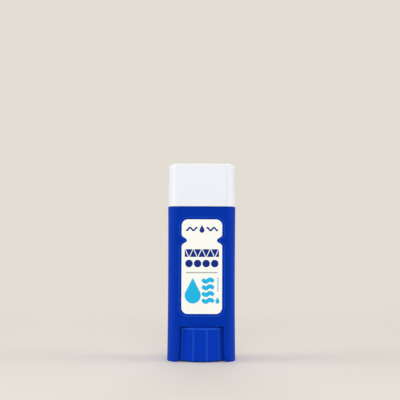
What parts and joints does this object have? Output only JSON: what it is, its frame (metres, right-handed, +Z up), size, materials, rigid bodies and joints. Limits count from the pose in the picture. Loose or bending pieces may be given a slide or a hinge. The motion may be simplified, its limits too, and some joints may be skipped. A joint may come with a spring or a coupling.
{
  "type": "glue stick",
  "caption": "Flattened twist-up glue stick with a blue barrel, a white pull-off cap, a ribbed knob between two legs and a bottle-shaped label.",
  "frame": {"origin": "centre of the bounding box in plan, on the table under the legs", "axes": "+Z up along the spindle, X across the width, the front label faces -Y"},
  "size_m": [0.033, 0.0269, 0.0948],
  "materials": {
    "barrel_blue": "royal blue moulded polypropylene, satin gloss",
    "cap_white": "cool white moulded polypropylene, satin",
    "knob_blue": "royal blue moulded polypropylene, satin gloss",
    "mechanism_white": "natural white moulded plastic",
    "glue": "waxy off-white solid glue",
    "label_front": "warm white film sticker with plain navy and cyan shapes",
    "label_back": "warm white film sticker with plain rules"
  },
  "bodies": {
    "barrel": {"barrel": "barrel_blue", "label_front": "label_front", "label_back": "label_back"},
    "cap": {"cap": "cap_white"},
    "knob": {"knob": "knob_blue", "spindle": "mechanism_white"},
    "carrier": {"carrier": "mechanism_white", "glue_bar": "glue"}
  },
  "joints": [
    {"name": "cap_lift", "type": "slide", "parent": "barrel", "child": "cap", "axis": [0, 0, 1], "range_m": [0, 0.03]},
    {"name": "knob_turn", "type": "hinge", "parent": "barrel", "child": "knob", "pos_m": [0, 0, 0.017], "axis": [0, 0, 1], "range_deg": [0, 1620]},
    {"name": "carrier_lift", "type": "slide", "parent": "barrel", "child": "carrier", "axis": [0, 0, 1], "range_m": [0, 0.0135]}
  ],
  "couplings": [
    {"joint": "knob_turn", "follows": "carrier_lift", "rad_per_m": 2094.4}
  ]
}
